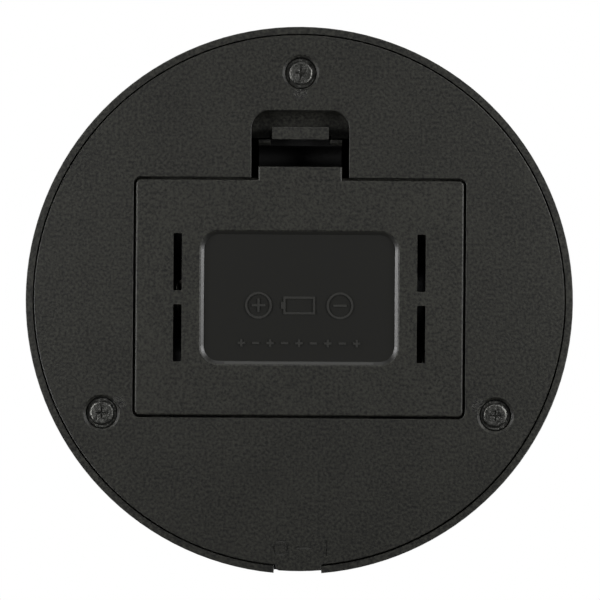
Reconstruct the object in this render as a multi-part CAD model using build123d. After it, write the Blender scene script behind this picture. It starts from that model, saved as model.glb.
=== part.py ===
from build123d import *
from math import cos, hypot, radians, sin
import os

# A compact round digital scale on three AA cells: a screwed base with a latched battery
# door, a skirted housing with a display strip, and a steel platform on a bar load cell.
# Millimetres, +Z up, -Y towards the display and the power switch, origin under the middle.

# ---- round housing and base ----
body_radius = 55.0
skirt_wall = 1.4
skirt_lift = 0.2          # how far the skirt's lower edge stays off the table
plate_gap = 0.3           # base plate to skirt
plate_thickness = 2.2
deck_thickness = 2.0
edge_round = 0.15         # lower edges that meet a seam
strip_round = 1.0         # upper edge of the display strip

# ---- cells and battery bay ----
cell_diameter = 14.5
cell_length = 50.5
cell_nub_radius = 2.75
cell_nub_height = 1.3
cell_round = 0.6
cell_rib_depth = 2.9
cell_gap = 0.5            # between neighbouring cells
cell_play = 0.35          # cell to bay wall, roof and door
contact_thickness = 0.4
contact_margin = 1.0      # cell's edge to the strip's edge
contact_tab_width = 3.0
contact_tab_rise = 2.0    # solder tab above the bay's roof
dimple_height = 1.4
dimple_radius = 1.9
spring_length = 4.7
spring_wire = 0.8
spring_radius = 4.6
spring_turns = 4
spring_taper = 20
contact_play = 0.05
bay_wall = 1.5
bay_shift = 0.48          # the bay's middle lies a little behind the object's middle

# ---- battery door and its latch ----
door_gap = 0.48
door_lap_x = 4.2          # how far the door reaches past the bay's inside, each end
door_lap_y = 1.1
door_inset = 0.1          # door face above the base's lower face
door_thickness = 1.9
door_corner = 1.0
door_edge_round = 0.4
tab_width = 16.8
tab_reach = 2.7
slot_width = 1.7
slot_length = 11.5
slot_inset = 8.45         # door's end edge to the middle of a slot
slot_offset = 7.15        # door's middle line to the middle of a slot
slot_corner = 0.2
label_length = 40.2
label_width = 27.3
label_corner = 4.0
label_depth = 0.6
label_slope = 0.9
tongue_hook_width = 10.0
tongue_hook_offset = 20.0
tongue_hook_reach = 1.9
tongue_hook_thickness = 1.0
symbol_rise = 0.15        # moulded symbols above the tray's floor
symbol_stroke = 0.45
symbol_ring = 2.7
symbol_pitch = 8.2
symbol_shift = -1.5       # symbol row's line behind the door's middle
symbol_cell_length = 6.4
symbol_cell_width = 3.6
symbol_cell_nub = 1.4
small_symbol = 1.5
small_symbol_pitch = 2.9
small_symbol_count = 9
small_symbol_shift = -9.1
recess_width = 19.7
recess_length = 13.5      # pocket edge to the far wall of the finger recess
recess_corner = 3.6
recess_wall = 1.3
recess_sweep = 4.2        # radius of the hollow floor
recess_drop = 0.6         # its centre line below the base's lower face
recess_lip = 0.1          # how far the floor's curve would overshoot the far wall
latch_width = 11.4
latch_leaf = 1.1
latch_bend = 2.76         # mean radius of the U-bend
latch_rise = 6.2          # height of the bend's centre line
latch_leg_end = 2.0       # lower end of the leg beside the head
latch_leg_bevel = 0.5
latch_leg_notch = 4.4     # lower end of the leg above the head
latch_notch_play = 0.3    # leg's notch past the head's sides
latch_head_reach = 2.5
latch_head_thickness = 2.6
latch_head_round = 0.4
latch_neck = 0.6
latch_neck_top = 5.4
latch_nose = 0.4
latch_nose_height = 0.7
knuckle_radius = 0.6
knuckle_play = 0.07
pan_clearance = 0.4       # leg to the floor of the finger recess
catch_gap = 1.0           # leg to the catch edge behind the head
catch_play = 0.5          # catch edge past the head's sides

# ---- screws ----
screw_inset = 9.3         # screw circle inside the body radius
screw_degrees = (90, 210, 330)
screw_head_radius = 3.1
screw_head_height = 1.7
screw_flange = 1.2        # thickness of the head's washer face
screw_flange_round = 0.25
screw_dome_radius = 2.45
screw_dome_round = 0.55
screw_cross = 1.15        # half the length of the driver cross
screw_cross_depth = 0.55
screw_shank_radius = 1.4
screw_length = 12.0
screw_pilot_extra = 1.0   # pilot hole past the screw's tip
screw_head_sink = 0.35    # head above the base's lower face
counterbore_play = 0.1
counterbore_bevel = 0.5
boss_wall = 1.8
boss_floor = 2.0
post_radius = 3.4

# ---- load cell ----
bar_length = 47.0
bar_width = 12.0
bar_height = 6.0
bar_hole_inset = 4.0
bar_hole_spacing = 6.5
bar_bolt_radius = 1.5
bar_bolt_play = 0.05
bar_bolt_cover = 1.0      # bar metal left over a bolt's tip
bar_bolt_head = 1.5
bar_bolt_cross = 1.4
bar_bolt_cross_depth = 0.9
bar_shift = 2.5           # bar's middle line behind the bay's
bar_pad = 1.0             # pad under the fixed end
bar_clearance = 1.5       # round the bar in the deck
bar_waist_radius = 2.1
bar_waist_spread = 4.5
bar_waist_slit = 1.2
gauge_length = 4.4
gauge_width = 4.0
gauge_thickness = 0.15

# ---- platform ----
deck_rise = 1.3           # deck top above the load cell's top
platform_gap = 0.8        # platform above the deck
platform_lip = 1.1        # black lip under the steel skin
carrier_height = 3.4
carrier_top = 2.0
carrier_wall = 2.0
carrier_rib = 1.6
carrier_ribs_x = (-34.0, 34.0)
carrier_ribs_y = (-12.0, 28.0)
carrier_seat = 0.2        # bolt seats above the hollow's roof
skin_thickness = 0.8
skin_play = 0.2
skin_lift = 0.15          # skin's lower edge above the carrier's lip
skin_round = 1.1
skin_inner_round = 0.3
tape_thickness = 0.2
tape_inset = 4.0
tape_width = 8.0
tape_corner = 3.0
platform_travel = 0.4
stop_radius = 2.0         # overload stops on the deck
stop_inset = 4.0
stop_degrees = (35, 145)
stop_play = 0.1
strip_depth = 30.0        # display strip, from the body's edge to its rear face
strip_gap = 0.6
strip_rise = 3.8          # display strip above the deck
plan_corner = 2.0
skin_corner = 3.0

# ---- display and buttons ----
window_length = 42.4
window_width = 18.4
window_thickness = 1.25
window_play = 0.1
window_corner = 0.9
window_bevel = 0.15
view_corner = 0.8
view_length = 36.5
view_width = 13.5
display_inset = 18.5      # display's middle inside the body radius
lcd_length = 40.0
lcd_width = 17.0
lcd_thickness = 2.1
lcd_corner = 0.2
lcd_frame_wall = 1.4
rubber_height = 2.3
rubber_width = 1.6
rubber_inset = 1.0
board_length = 76.0
board_width = 20.0
board_thickness = 1.2
board_shift = -0.8        # board's middle in front of the display's
board_margin = 1.6        # board to the housing's inside
board_play = 0.1          # display stack under the deck
board_screw_x = 24.5
board_screw_spread = 6.0
board_screw_cover = 1.0   # strip left over a screw's tip
board_pilot_cover = 0.6
board_post_radius = 2.4
board_shank_radius = 0.8
board_head_radius = 1.9
board_head_height = 1.2
board_head_round = 0.6
board_cross = 1.0
chip_x = 6.5
chip_radius = 5.5
chip_depth = 1.4
button_x = 32.0
button_inset = 20.5
button_radius = 4.5
button_play = 0.15
button_flange = 1.1
button_flange_thickness = 0.6
button_travel = 0.3
button_proud = 0.4
button_round = 0.5
button_lift = 0.2         # flange under the strip
plunger_radius = 1.75
plunger_gap = 0.1         # plunger's foot above the end of its travel
push_switch_size = 6.0
push_switch_corner = 0.4
push_switch_floor = 0.5

# ---- power switch ----
notch_width = 9.6
notch_top = 8.4
notch_tongue_width = 9.2
notch_tongue_reach = 1.1
notch_tongue_shift = -0.15
notch_tongue_corner = 0.9
switch_length = 12.4
switch_depth = 5.0
switch_height = 5.4
switch_lift = 0.2
switch_setback = 3.8      # body's front face inside the body radius
pin_pitch = 3.0
pin_length = 2.5
pin_width = 0.8
pin_thickness = 0.5
knob_width = 3.6
knob_travel = 2.8
knob_reach = 2.8
knob_round = 0.3
knob_groove = 0.4
stem_width = 2.0
stem_play = 0.15

mark_inset = 3.6          # the marks' middle inside the base's edge
mark_shift = -1.2
mark_spread = 4.6
mark_size = 1.6
mark_stroke = 0.45
mark_depth = 0.15

# ---- leads ----
lead_radius = 0.55
battery_lead_bend = 2.5
cell_lead_bend = 1.2
switch_lead_bend = 1.5
cell_lead_pitch = 2.2
battery_lead_landing = 3.2    # solder places in front of the board's back edge
cell_lead_landing = 2.2
switch_lead_run = 4.0

# ---- levels and places that follow from the sizes above ----
inner_radius = body_radius - skirt_wall
plate_radius = inner_radius - plate_gap
door_top = door_inset + door_thickness
ledge_z = door_top + 0.1
cell_z = door_top + cell_play + cell_diameter / 2
cell_pitch = cell_diameter + cell_gap
bay_length = cell_length + dimple_height + spring_length + 2 * (contact_thickness + contact_play)
bay_width = 3 * cell_diameter + 2 * cell_gap + 2 * cell_play
bay_roof = cell_z + cell_diameter / 2 + cell_play
bay_top = bay_roof + bay_wall
door_length = bay_length + 2 * door_lap_x
door_width = bay_width + 2 * door_lap_y
door_front = bay_shift - door_width / 2
door_back = bay_shift + door_width / 2
pocket_back = door_back + door_gap
tab_back = door_back + tab_reach
recess_back = pocket_back + recess_length
sweep_y = recess_back + recess_lip - (recess_sweep**2 - recess_drop**2) ** 0.5
pan_top = recess_sweep - recess_drop + recess_wall
leaf_front = tab_back - latch_leaf
bend_y = leaf_front + latch_leaf / 2 + latch_bend
leg_y = bend_y + latch_bend
leg_front = leg_y - latch_leaf / 2
leg_back = leg_y + latch_leaf / 2
pan_edge = leg_back + pan_clearance
bar_y = bay_shift + bar_shift
bar_bottom = bay_top + bar_pad
bar_top = bar_bottom + bar_height
deck_top = bar_top + deck_rise
deck_bottom = deck_top - deck_thickness
strip_edge = strip_depth - body_radius
display_y = display_inset - body_radius
button_y = button_inset - body_radius
strip_top = deck_top + strip_rise
strip_under = strip_top - deck_thickness
carrier_bottom = deck_top + platform_gap
carrier_z = carrier_bottom + carrier_height
skin_top = carrier_z + tape_thickness + skin_thickness
platform_edge = strip_edge + strip_gap
screw_circle = body_radius - screw_inset
counterbore_radius = screw_head_radius + counterbore_play
counterbore_depth = screw_head_sink + screw_head_height
boss_top = counterbore_depth + boss_floor
lcd_top = strip_under - board_play
lcd_bottom = lcd_top - lcd_thickness
board_top = lcd_bottom - rubber_height
board_bottom = board_top - board_thickness
board_back = display_y + board_shift + board_width / 2
flange_bottom = strip_under - button_lift - button_flange_thickness
switch_front = -(body_radius - switch_setback)
switch_bottom = plate_thickness + switch_lift
switch_mid = switch_bottom + switch_height / 2


def block(x0, x1, y0, y1, z0, z1):
    """Box between two corners."""
    return Pos((x0 + x1) / 2, (y0 + y1) / 2, (z0 + z1) / 2) * Box(x1 - x0, y1 - y0, z1 - z0)


def rod(x, y, z0, z1, radius):
    """Upright cylinder between two levels."""
    return Pos(x, y, (z0 + z1) / 2) * Cylinder(radius, z1 - z0)


def cross_rod(x0, x1, y, z, radius):
    """Cylinder along X."""
    return Pos((x0 + x1) / 2, y, z) * Rot(0, 90, 0) * Cylinder(radius, x1 - x0)


def slab(length, width, corner, y, z0, z1, x=0.0):
    """Upright plate with rounded corners."""
    return Pos(x, y, z0) * extrude(RectangleRounded(length, width, corner), amount=z1 - z0)


def dee(radius, edge, z0, z1, corner):
    """Disc cut off straight at y = edge, with its two corners rounded."""
    reach = 2 * radius
    cut = rod(0, 0, z0, z1, radius) & block(-reach, reach, edge, reach, z0, z1)
    return fillet(cut.edges().filter_by(Axis.Z).filter_by(GeomType.LINE), corner)


def on_circle(radius, degrees):
    """Plan position at an angle counted from +X."""
    return radius * cos(radians(degrees)), radius * sin(radians(degrees))


def screw_places():
    return [on_circle(screw_circle, degrees) for degrees in screw_degrees]


def cell_places():
    """(y, side of the positive end) of each cell; neighbours lie head to tail."""
    return [(bay_shift + step * cell_pitch, side) for step, side in ((-1, 1), (0, -1), (1, 1))]


def bar_holes(side):
    """X places of the two bolts at one end of the load cell."""
    outer = bar_length / 2 - bar_hole_inset
    return [side * outer, side * (outer - bar_hole_spacing)]


def board_posts():
    return [
        (x, display_y + y)
        for x in (-board_screw_x, board_screw_x)
        for y in (-board_screw_spread, board_screw_spread)
    ]


# ---- base ----


def bay_shell():
    """Rim round the door pocket and the box that holds the cells."""
    rim_x = door_length / 2 + door_gap + bay_wall
    rim_y = door_width / 2 + door_gap + bay_wall
    rim = slab(2 * rim_x, 2 * rim_y, door_corner + bay_wall, bay_shift, 0, ledge_z + bay_wall)
    box_x = bay_length / 2 + bay_wall
    box_y = bay_width / 2 + bay_wall
    return rim + slab(2 * box_x, 2 * box_y, bay_wall, bay_shift, 0, bay_top)


def bay_hollow():
    """Door pocket, cell space and the slots for the door's two hooks."""
    pocket_x = door_length + 2 * door_gap
    pocket_y = door_width + 2 * door_gap
    hollow = slab(pocket_x, pocket_y, door_corner + door_gap, bay_shift, 0, ledge_z)
    half_x = bay_length / 2
    half_y = bay_width / 2
    hollow += block(-half_x, half_x, bay_shift - half_y, bay_shift + half_y, 0, bay_roof)
    hook_top = ledge_z + 2 * tongue_hook_thickness
    half_hook = tongue_hook_width / 2 + door_gap
    for x in (-tongue_hook_offset, tongue_hook_offset):
        reach_y = door_front - tongue_hook_reach - door_gap
        hollow += block(x - half_hook, x + half_hook, reach_y, bay_shift, ledge_z, hook_top)
    return hollow


def cell_ribs():
    """Ribs under the bay's roof that keep the cells apart."""
    half = bay_length / 2 - spring_length - contact_thickness
    ribs = [
        block(-half, half, y - cell_gap, y + cell_gap, bay_roof - cell_rib_depth, bay_roof)
        for y in (bay_shift - cell_pitch / 2, bay_shift + cell_pitch / 2)
    ]
    return ribs[0] + ribs[1]


def recess_plan(grow, z0, z1):
    """Plan of the finger recess, grown all round and lying behind the door pocket."""
    length = recess_length + grow
    middle = pocket_back + length / 2
    return slab(recess_width + 2 * grow, length, recess_corner + grow, middle, z0, z1)


def latch_opening():
    """Way for the latch through the plate, and the hollow finger recess beyond it."""
    half = recess_width / 2
    way = block(-half, half, pocket_back, pan_edge, 0, pan_top)
    catch_half = latch_width / 2 + catch_play
    way += block(-catch_half, catch_half, pan_edge, leg_back + catch_gap, 0, pan_top)
    sweep = cross_rod(-half, half, sweep_y, -recess_drop, recess_sweep)
    return way + (recess_plan(0, 0, pan_top) & sweep)


def lead_slots():
    """Slots in the bay's roof for the solder tabs of the two end contacts."""
    cut = Part()
    half = contact_tab_width / 2 + contact_play
    for x, y in contact_tabs():
        reach = contact_thickness / 2 + contact_play
        cut += block(x - reach, x + reach, y - half, y + half, bay_roof, bay_top)
    return cut


def switch_cheeks():
    """Two upright cheeks that hold the power switch behind the notch."""
    inner = switch_length / 2 + contact_play
    outer = inner + bay_wall
    back = switch_front + switch_depth
    top = switch_bottom + switch_height
    sides = ((-outer, -inner), (inner, outer))
    return [block(x0, x1, switch_front, back, 0, top) for x0, x1 in sides]


def power_marks():
    """Sunk off and on strokes beside the notch: a ring, a bar, and a dash between them."""
    y = mark_inset - plate_radius
    ring_x, bar_x = mark_shift + mark_spread, mark_shift - mark_spread
    half = mark_stroke / 2
    ring = rod(ring_x, y, 0, mark_depth, mark_size)
    ring -= rod(ring_x, y, 0, mark_depth, mark_size - mark_stroke)
    bar = block(bar_x - half, bar_x + half, y - mark_size, y + mark_size, 0, mark_depth)
    dash = block(mark_shift - mark_size, mark_shift + mark_size, y - half, y + half, 0, mark_depth)
    return ring + bar + dash


def lower_edges(plate, wanted):
    """Edges in the base's lower face whose middle passes the test."""
    edges = plate.edges().filter_by_position(Axis.Z, -0.01, 0.01)
    return [edge for edge in edges if wanted(edge.center().X, edge.center().Y)]


def round_lower_edges(plate):
    """Rounds the door pocket and recess, bevels the counterbores, then rounds the outline."""

    def at_screw(x, y):
        return min(hypot(x - a, y - b) for a, b in screw_places()) < 2 * counterbore_radius

    def at_outline(x, y):
        return hypot(x, y) > plate_radius - 0.01

    plate = fillet(
        lower_edges(plate, lambda x, y: not at_screw(x, y) and not at_outline(x, y)), edge_round)
    plate = chamfer(lower_edges(plate, at_screw), counterbore_bevel)
    return fillet(lower_edges(plate, at_outline), edge_round)


def notch_tongue():
    """Tongue that closes the notch from below; its end follows the body's curve."""
    half = notch_tongue_width / 2
    reach = plate_radius + notch_tongue_reach
    shift = notch_tongue_shift
    tongue = block(shift - half, shift + half, -reach, 0, 0, plate_thickness)
    tongue &= rod(0, 0, 0, plate_thickness, reach)
    corners = tongue.edges().filter_by(Axis.Z).group_by(Axis.Y)[0]
    return fillet(corners, notch_tongue_corner)


def base_plate():
    plate = rod(0, 0, 0, plate_thickness, plate_radius) + notch_tongue()
    plate += bay_shell() + recess_plan(recess_wall, 0, pan_top)
    for x, y in screw_places():
        plate += rod(x, y, 0, boss_top, counterbore_radius + boss_wall)
    plate -= bay_hollow() + latch_opening()
    plate += cell_ribs()
    for x, y in screw_places():
        plate -= rod(x, y, 0, counterbore_depth, counterbore_radius)
        plate -= rod(x, y, 0, boss_top, screw_shank_radius + bar_bolt_play)
    for x in bar_holes(-1):
        plate += block(x - bar_hole_inset, x + bar_hole_inset, bar_y - bar_width / 2,
                       bar_y + bar_width / 2, bay_roof, bar_bottom)
    for x in bar_holes(-1):
        plate -= rod(x, bar_y, bay_roof, bar_bottom, bar_bolt_radius + bar_bolt_play)
        plate -= bolt_cone(x, bar_bolt_play)
    plate -= lead_slots()
    for cheek in switch_cheeks():
        plate += cheek
    return round_lower_edges(plate) - power_marks()


def bolt_cone(x, play):
    """Countersink in the bay's roof, or with no play the screw head that fits it."""
    wide = 2 * bar_bolt_radius + play
    narrow = bar_bolt_radius + play
    high = wide - narrow
    return Pos(x, bar_y, bay_roof + high / 2) * Cone(wide, narrow, high)


def housing_posts():
    """Posts that the base's screws bite into."""
    posts = Part()
    for x, y in screw_places():
        pilot = screw_shank_radius + bar_bolt_play
        end = counterbore_depth + screw_length + screw_pilot_extra
        posts += rod(x, y, boss_top, deck_bottom, post_radius) - rod(x, y, boss_top, end, pilot)
    return posts


def housing_shell():
    """Skirt, sunk deck under the platform, and the raised display strip."""
    outer = rod(0, 0, skirt_lift, strip_top, body_radius)
    outer -= block(-body_radius, body_radius, strip_edge, body_radius, deck_top, strip_top)
    low = rod(0, 0, skirt_lift, deck_bottom, inner_radius)
    high = rod(0, 0, deck_bottom, strip_under, inner_radius)
    front = strip_edge - skirt_wall
    high &= block(-body_radius, body_radius, -body_radius, front, deck_bottom, strip_under)
    return outer - low - high


def display_openings():
    """Seat and sight hole of the window, and the two button holes."""
    seat_x = window_length + 2 * window_play
    seat_y = window_width + 2 * window_play
    seat_z = strip_top - window_thickness - board_play / 2
    cut = slab(seat_x, seat_y, window_corner + window_play, display_y, seat_z, strip_top)
    cut += slab(view_length, view_width, view_corner, display_y, strip_under, strip_top)
    for x in (-button_x, button_x):
        cut += rod(x, button_y, strip_under, strip_top, button_radius + button_play)
    return cut


def housing():
    shell = housing_shell()
    top_edges = [
        edge
        for edge in shell.edges().filter_by_position(Axis.Z, deck_top - 0.01, strip_top + 0.01)
        if edge.center().Z > strip_top - 0.01
    ]
    shell = fillet(top_edges, strip_round)
    shell += housing_posts()
    for x, y in board_posts():
        post = rod(x, y, board_top, strip_under, board_post_radius)
        shell += post - rod(x, y, board_top, strip_under - board_pilot_cover,
                            board_shank_radius + bar_bolt_play)
    stop_top = carrier_bottom - platform_travel - stop_play
    for x, y in [on_circle(inner_radius - stop_inset, degrees) for degrees in stop_degrees]:
        shell += rod(x, y, deck_top, stop_top, stop_radius)
    half_x = bar_length / 2 + bar_clearance
    half_y = bar_width / 2 + bar_clearance
    shell -= slab(2 * half_x, 2 * half_y, plan_corner / 2, bar_y, deck_bottom, deck_top)
    shell -= display_openings()
    half = notch_width / 2
    shell -= block(-half, half, -body_radius, -body_radius + 2 * skirt_wall, skirt_lift, notch_top)
    lower = shell.edges().filter_by_position(Axis.Z, skirt_lift - 0.01, skirt_lift + 0.01)
    outside = [edge for edge in lower if hypot(*tuple(edge @ 0)[:2]) > body_radius - 0.01
               and hypot(*tuple(edge @ 1)[:2]) > body_radius - 0.01]
    return fillet(outside, edge_round)


def cross_recess(x, y, z, size, depth):
    """Tapering cross for a driver, open downwards at z."""
    arm = size / 4
    return block(x - size, x + size, y - arm / 2, y + arm / 2, z, z + depth) + block(
        x - arm / 2, x + arm / 2, y - size, y + size, z, z + depth)


def housing_screws():
    """Three domed screws with a washer face that hold the base to the housing."""
    screws = []
    top = counterbore_depth
    for x, y in screw_places():
        dome = rod(x, y, screw_head_sink, top, screw_dome_radius)
        dome = fillet(dome.edges().group_by(Axis.Z)[0], screw_dome_round)
        flange = rod(x, y, top - screw_flange, top, screw_head_radius)
        flange = fillet(flange.edges().group_by(Axis.Z)[0], screw_flange_round)
        shank = rod(x, y, top, top + screw_length, screw_shank_radius)
        shank = chamfer(shank.edges().group_by(Axis.Z)[-1], screw_shank_radius / 2)
        cross = cross_recess(x, y, screw_head_sink, screw_cross, screw_cross_depth)
        screws.append(dome + flange + shank - cross)
    return Compound(children=screws)


# ---- cells and contacts ----


def battery_cell(y, side):
    """One AA cell with its positive nub towards side."""
    nub_x = side * (bay_length / 2 - contact_thickness - dimple_height - contact_play)
    shoulder = nub_x - side * cell_nub_height
    end = nub_x - side * cell_length
    low, high = sorted((shoulder, end))
    can = cross_rod(low, high, y, cell_z, cell_diameter / 2)
    can = fillet(can.edges().filter_by(GeomType.CIRCLE), cell_round)
    low, high = sorted((nub_x, shoulder - side * cell_round))
    nub = cross_rod(low, high, y, cell_z, cell_nub_radius)
    return can + nub


def contact_tabs():
    """Plan places of the solder tabs on the first and last contacts."""
    wall = bay_length / 2 - contact_thickness / 2
    first, _, last = cell_places()
    return [(-wall, first[0]), (wall, last[0])]


def contact_strips():
    """Stamped strips on the bay's end walls: one single and one double at each end."""
    wall = bay_length / 2
    half = cell_diameter / 2 - contact_margin
    tab = contact_tab_width / 2
    low, high = cell_z - half, cell_z + half
    ys = [y for y, _ in cell_places()]
    strips = []
    for side, groups in ((-1, ([0], [1, 2])), (1, ([0, 1], [2]))):
        x0, x1 = sorted((side * wall, side * (wall - contact_thickness)))
        for group in groups:
            strip = block(x0, x1, ys[group[0]] - half, ys[group[-1]] + half, low, high)
            if len(group) == 1:
                y = ys[group[0]]
                strip += block(x0, x1, y - tab, y + tab, high, bay_top + contact_tab_rise)
            for index in group:
                if cell_places()[index][1] == side:
                    tip = side * (wall - contact_thickness - dimple_height)
                    a, b = sorted((tip, side * (wall - contact_thickness / 2)))
                    strip += cross_rod(a, b, ys[index], cell_z, dimple_radius)
            strips.append(strip)
    return Compound(children=strips)


def contact_springs():
    """Conical springs that press on the cells' negative ends."""
    springs = []
    for y, side in cell_places():
        start = -side * (bay_length / 2 - contact_thickness - spring_wire / 2)
        height = spring_length - spring_wire - contact_play
        path = Helix(height / spring_turns, height, spring_radius, direction=(0, 0, 1),
                     cone_angle=-spring_taper)
        profile = Plane(origin=path @ 0, z_dir=path % 0) * Circle(spring_wire / 2)
        coil = sweep(profile, path=path)
        turn = Rot(0, 90 * side, 0)
        springs.append(Pos(start, y, cell_z) * turn * coil)
    return Compound(children=springs)


# ---- load cell ----


def load_cell():
    """Aluminium bar with a double bore that thins it above and below its middle."""
    half = bar_length / 2
    bar = block(-half, half, bar_y - bar_width / 2, bar_y + bar_width / 2, bar_bottom, bar_top)
    middle = bar_bottom + bar_height / 2
    for x in (-bar_waist_spread, bar_waist_spread):
        hole = Pos(x, bar_y, middle) * Rot(90, 0, 0) * Cylinder(bar_waist_radius, 2 * bar_width)
        bar -= hole
    bar -= block(-bar_waist_spread, bar_waist_spread, bar_y - bar_width, bar_y + bar_width,
                 middle - bar_waist_slit / 2, middle + bar_waist_slit / 2)
    for x in bar_holes(-1) + bar_holes(1):
        bar -= rod(x, bar_y, bar_bottom, bar_top, bar_bolt_radius + bar_bolt_play)
    return bar


def strain_gauges():
    """Foil gauges glued over the thinned places, two above and two below."""
    gauges = []
    half_x, half_y = gauge_length / 2, gauge_width / 2
    for x in (-bar_waist_spread, bar_waist_spread):
        for low, high in ((bar_top, bar_top + gauge_thickness),
                          (bar_bottom - gauge_thickness, bar_bottom)):
            gauges.append(block(x - half_x, x + half_x, bar_y - half_y, bar_y + half_y, low, high))
    return Compound(children=gauges)


def base_bolts():
    """Countersunk screws up through the bay's roof into the bar's fixed end."""
    bolts = []
    for x in bar_holes(-1):
        shank = rod(x, bar_y, bay_roof, bar_top - bar_bolt_cover, bar_bolt_radius)
        bolts.append(bolt_cone(x, 0) + shank)
    return Compound(children=bolts)


def platform_bolts():
    """Pan-head screws down through the carrier into the bar's free end."""
    bolts = []
    seat = carrier_z - carrier_top + carrier_seat
    top = seat + bar_bolt_head
    for x in bar_holes(1):
        head = rod(x, bar_y, seat, top, 2 * bar_bolt_radius)
        head -= cross_recess(x, bar_y, top - bar_bolt_cross_depth, bar_bolt_cross,
                             bar_bolt_cross_depth)
        bolts.append(head + rod(x, bar_y, bar_bottom + bar_bolt_cover, seat, bar_bolt_radius))
    return Compound(children=bolts)


# ---- platform ----


def platform_carrier():
    """Moulded tray under the steel skin, with its boss on the bar's free end."""
    skin_inside = body_radius - skin_thickness - skin_play
    inner_edge = platform_edge + skin_thickness + skin_play
    lip_top = carrier_bottom + platform_lip
    tray = dee(skin_inside, inner_edge, carrier_bottom, carrier_z, plan_corner)
    tray += dee(body_radius, platform_edge, carrier_bottom, lip_top, skin_corner)
    hollow_top = carrier_z - carrier_top
    hollow = dee(skin_inside - carrier_wall, inner_edge + carrier_wall, carrier_bottom,
                 hollow_top, plan_corner)
    tray -= hollow
    reach = skin_inside - carrier_wall / 2
    thick = carrier_rib / 2
    for y in carrier_ribs_y:
        half = (reach**2 - y**2) ** 0.5
        tray += block(-half, half, y - thick, y + thick, carrier_bottom, hollow_top)
    for x in carrier_ribs_x:
        half = (reach**2 - x**2) ** 0.5
        tray += block(x - thick, x + thick, inner_edge, half, carrier_bottom, hollow_top)
    ends = bar_holes(1)
    low, high = min(ends) - bar_hole_inset, max(ends) + bar_hole_inset
    tray += block(low, high, bar_y - bar_width / 2, bar_y + bar_width / 2, bar_top, hollow_top)
    for x in ends:
        tray -= rod(x, bar_y, bar_top, carrier_z, bar_bolt_radius + bar_bolt_play)
        tray -= rod(x, bar_y, hollow_top + carrier_seat, carrier_z,
                    2 * bar_bolt_radius + skin_play)
    return tray


def platform_skin():
    """Pressed steel cap with a turned-down edge all round."""
    bottom = carrier_bottom + platform_lip + skin_lift
    cap = dee(body_radius, platform_edge, bottom, skin_top, skin_corner)
    cap = fillet(cap.edges().group_by(Axis.Z)[-1], skin_round)
    inside = dee(body_radius - skin_thickness, platform_edge + skin_thickness, bottom,
                 skin_top - skin_thickness, skin_corner - skin_thickness)
    inside = fillet(inside.edges().group_by(Axis.Z)[-1], skin_inner_round)
    return cap - inside


def platform_tape():
    """Double-sided tape between carrier and skin."""
    top = carrier_z + tape_thickness

    def outline(inset):
        return dee(body_radius - inset, platform_edge + inset, carrier_z, top, tape_corner)

    return outline(tape_inset) - outline(tape_inset + tape_width)


# ---- door and latch ----


def stroke(x, y, length, width):
    """One moulded stroke on the tray's floor."""
    floor = door_inset + label_depth
    return block(x - length / 2, x + length / 2, y - width / 2, y + width / 2,
                 floor - symbol_rise, floor)


def polarity(x, y, size, plus):
    """A minus stroke, crossed for a plus."""
    mark = stroke(x, y, size, symbol_stroke)
    return mark + stroke(x, y, symbol_stroke, size) if plus else mark


def cell_symbols():
    """A cell between a ringed plus and a ringed minus, and a row of small signs below."""
    floor = door_inset + label_depth
    y = bay_shift + symbol_shift
    marks = Part()
    for side in (-1, 1):
        x = side * symbol_pitch
        marks += rod(x, y, floor - symbol_rise, floor, symbol_ring) - rod(
            x, y, floor - symbol_rise, floor, symbol_ring - symbol_stroke)
        marks += polarity(x, y, symbol_ring, side > 0)
    inner_length = symbol_cell_length - 2 * symbol_stroke
    inner_width = symbol_cell_width - 2 * symbol_stroke
    marks += stroke(0, y, symbol_cell_length, symbol_cell_width) - stroke(
        0, y, inner_length, inner_width)
    marks += stroke((symbol_cell_length + symbol_stroke) / 2, y, symbol_stroke, symbol_cell_nub)
    middle = (small_symbol_count - 1) / 2
    for step in range(small_symbol_count):
        marks += polarity((step - middle) * small_symbol_pitch, bay_shift + small_symbol_shift,
                          small_symbol, step % 2 == 0)
    return marks


def label_hollow():
    """Shallow tray in the door with sloping sides."""
    floor = door_inset + label_depth
    wide = Pos(0, bay_shift, door_inset) * RectangleRounded(label_length, label_width,
                                                           label_corner)
    narrow = Pos(0, bay_shift, floor) * RectangleRounded(
        label_length - 2 * label_slope, label_width - 2 * label_slope, label_corner - label_slope)
    return loft([wide.faces()[0], narrow.faces()[0]])


def door_slots():
    slots = Part()
    for x in (-(door_length / 2 - slot_inset), door_length / 2 - slot_inset):
        for y in (bay_shift - slot_offset, bay_shift + slot_offset):
            slots += slab(slot_width, slot_length, slot_corner, y, door_inset, door_top, x)
    return slots


def door_spring():
    """Front leaf and U-bend that carry the latch."""
    half = tab_width / 2
    leaf = block(-half, half, leaf_front, tab_back, door_inset + door_edge_round, latch_rise)
    inner = latch_bend - latch_leaf / 2
    ring = cross_rod(-half, half, bend_y, latch_rise, latch_bend + latch_leaf / 2)
    ring -= cross_rod(-half, half, bend_y, latch_rise, inner)
    ring &= block(-half, half, leaf_front, leg_back, latch_rise, 2 * latch_rise)
    ring -= cross_rod(-half, half, leg_y, latch_rise, knuckle_radius + knuckle_play)
    return leaf + ring


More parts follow.
